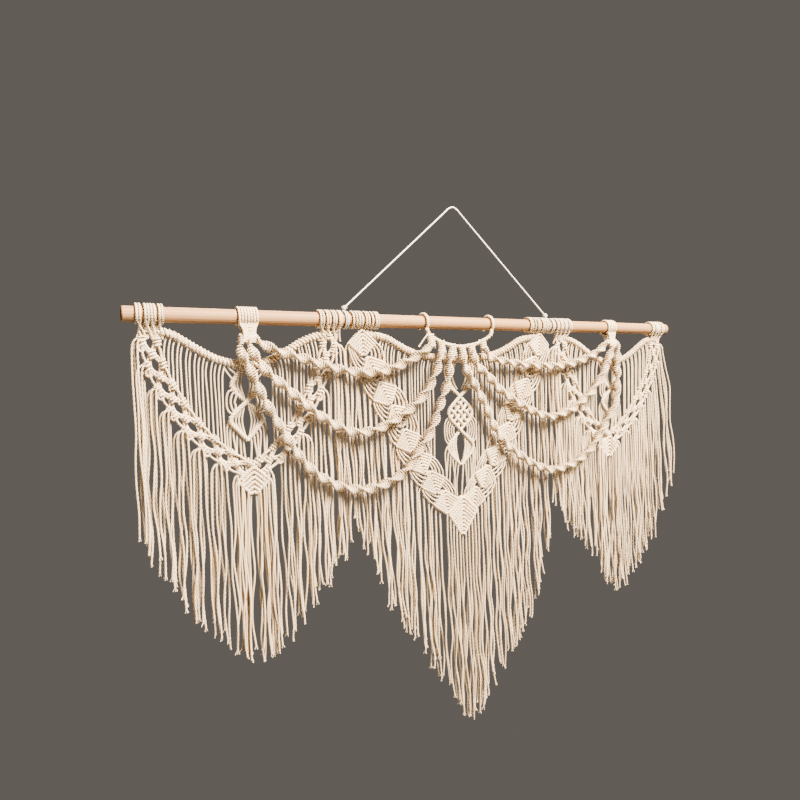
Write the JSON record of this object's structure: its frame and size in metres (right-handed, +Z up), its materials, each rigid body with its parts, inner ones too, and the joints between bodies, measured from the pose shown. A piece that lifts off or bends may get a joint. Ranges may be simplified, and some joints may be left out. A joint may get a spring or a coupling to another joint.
{
  "type": "macrame wall hanging on a wooden dowel",
  "caption": "Knotted cotton macrame wall hanging with scalloped panels, swagged garlands and long fringe, on a round wooden dowel with a hanging cord.",
  "frame": {"origin": "underside of the hanging cord at its top, where it rests on what holds it up", "axes": "+X along the dowel, to the right as seen from the front; -Y out of the front, so +Y towards the wall; +Z up"},
  "size_m": [1.0469, 0.0429, 0.8489],
  "materials": {
    "wood": "bare pale beech, sanded smooth",
    "white_cord": "thin braided white cotton cord",
    "cotton": "natural twisted cotton cord, matt"
  },
  "bodies": {
    "root": {"dowel": "wood", "hanging_cord": "white_cord", "cord_tie_left": "white_cord", "cord_tie_right": "white_cord", "panel_left": "cotton", "panel_center": "cotton", "panel_right": "cotton", "garlands_left": "cotton", "garlands_right": "cotton", "center_swag": "cotton"}
  },
  "joints": []
}
